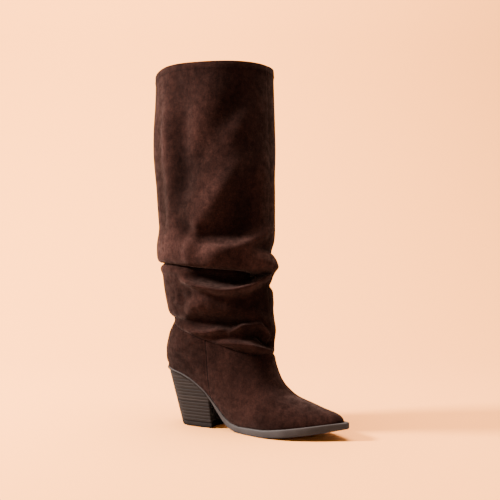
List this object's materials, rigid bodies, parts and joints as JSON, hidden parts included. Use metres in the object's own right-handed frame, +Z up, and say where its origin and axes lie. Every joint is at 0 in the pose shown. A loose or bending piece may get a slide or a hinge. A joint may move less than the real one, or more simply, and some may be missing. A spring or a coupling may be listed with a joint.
{
  "type": "knee-high boot",
  "caption": "Right-foot knee-high slouch boot in suede, with a pointed toe, a stacked block heel and a wide shaft that folds over the ankle.",
  "frame": {"origin": "centre of the flat bottom face of the heel, on the floor", "axes": "+X to the toe, +Y to the inner side of the right foot, +Z up the shaft"},
  "size_m": [0.26, 0.1216, 0.435],
  "materials": {
    "suede": "dark brown suede with a short, uneven nap",
    "lining": "smooth tan lining leather",
    "sole_rubber": "matt grey-brown sole unit with a plain edge",
    "heel_stack": "stacked-leather look in thin brown layers",
    "lift_rubber": "hard dark rubber"
  },
  "bodies": {
    "root": {"upper": "suede", "shaft": "suede", "insole": "lining", "outsole": "sole_rubber", "heel": "heel_stack", "heel_top_lift": "lift_rubber"}
  },
  "joints": []
}
